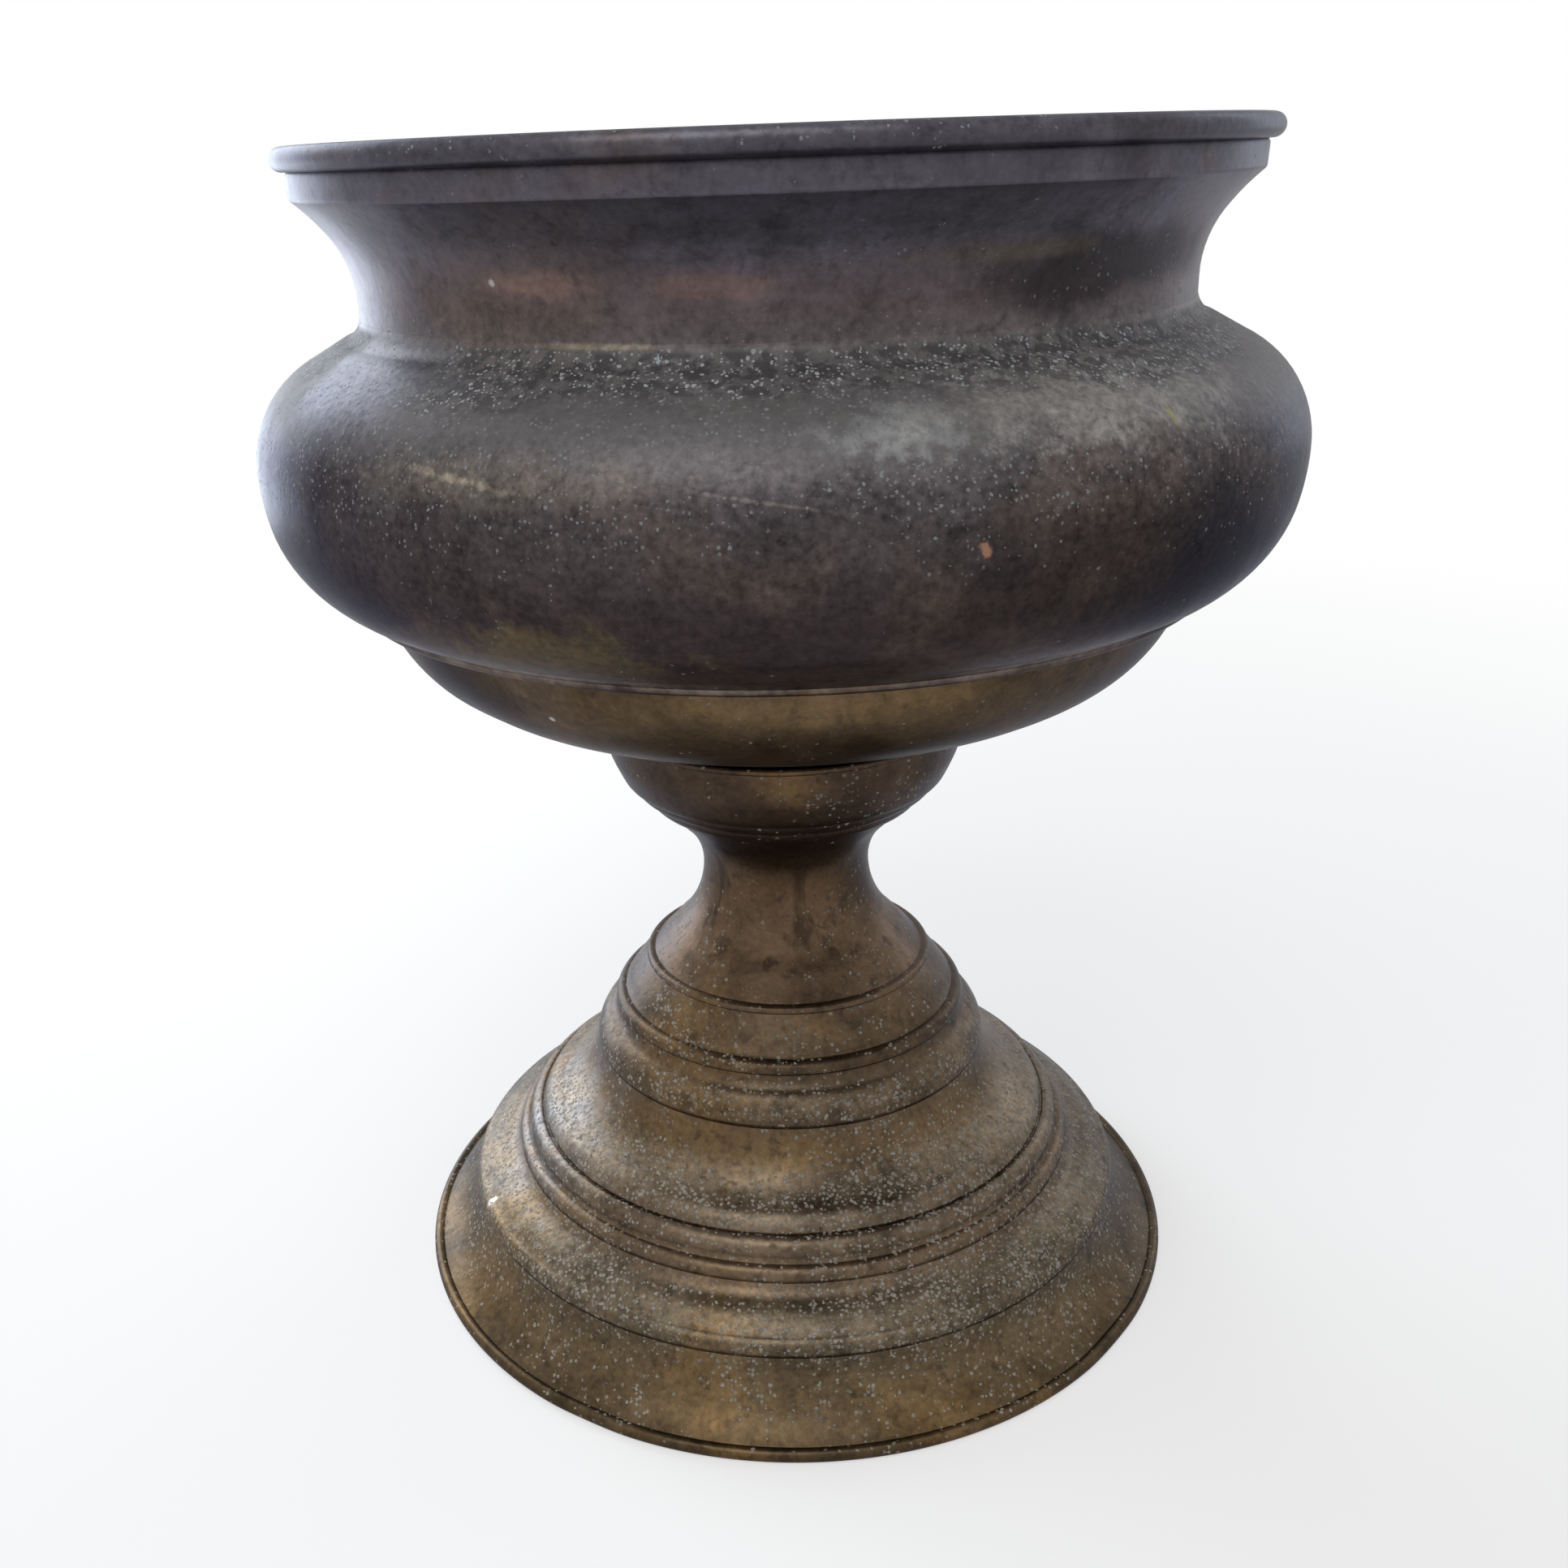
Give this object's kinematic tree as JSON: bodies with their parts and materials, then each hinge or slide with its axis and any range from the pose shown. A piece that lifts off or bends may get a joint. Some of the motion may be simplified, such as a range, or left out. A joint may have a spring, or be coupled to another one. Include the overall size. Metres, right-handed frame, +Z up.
{
  "type": "jardiniere on stand",
  "caption": "Wide spun metal bowl with a hollow flared neck and rolled rim, resting in the cup of a waisted, stepped and moulded bell stand.",
  "frame": {"origin": "on the floor under the axis of the stand", "axes": "+Z up along the axis, -Y towards the viewer"},
  "size_m": [0.5925, 0.5926, 0.7019],
  "materials": {
    "bronzed_brass": "dark bronzed patina, satin, spotted with mineral deposits",
    "plain_steel": "dull, lightly rusted",
    "iron_wire": "dull drawn wire"
  },
  "bodies": {
    "stand": {"foot_skirt": "bronzed_brass", "base_wire": "iron_wire", "foot_bead": "bronzed_brass", "foot_dome": "bronzed_brass", "stem_band": "bronzed_brass", "stem": "bronzed_brass", "lower_reed": "bronzed_brass", "upper_reed": "bronzed_brass", "collar_cup": "bronzed_brass", "seat_plate": "plain_steel", "tie_rod": "plain_steel", "rod_washer_top": "plain_steel", "rod_nut_top": "plain_steel", "bridge_bar": "plain_steel", "rod_washer_bottom": "plain_steel", "rod_nut_bottom": "plain_steel"},
    "jardiniere": {"flare_collar": "bronzed_brass", "rim_wire": "iron_wire", "bulge_shell": "bronzed_brass", "basin": "bronzed_brass", "bowl_foot": "bronzed_brass"}
  },
  "joints": [
    {"name": "bowl_lift", "type": "slide", "parent": "stand", "child": "jardiniere", "axis": [0, 0, 1], "range_m": [0, 0.06]}
  ]
}
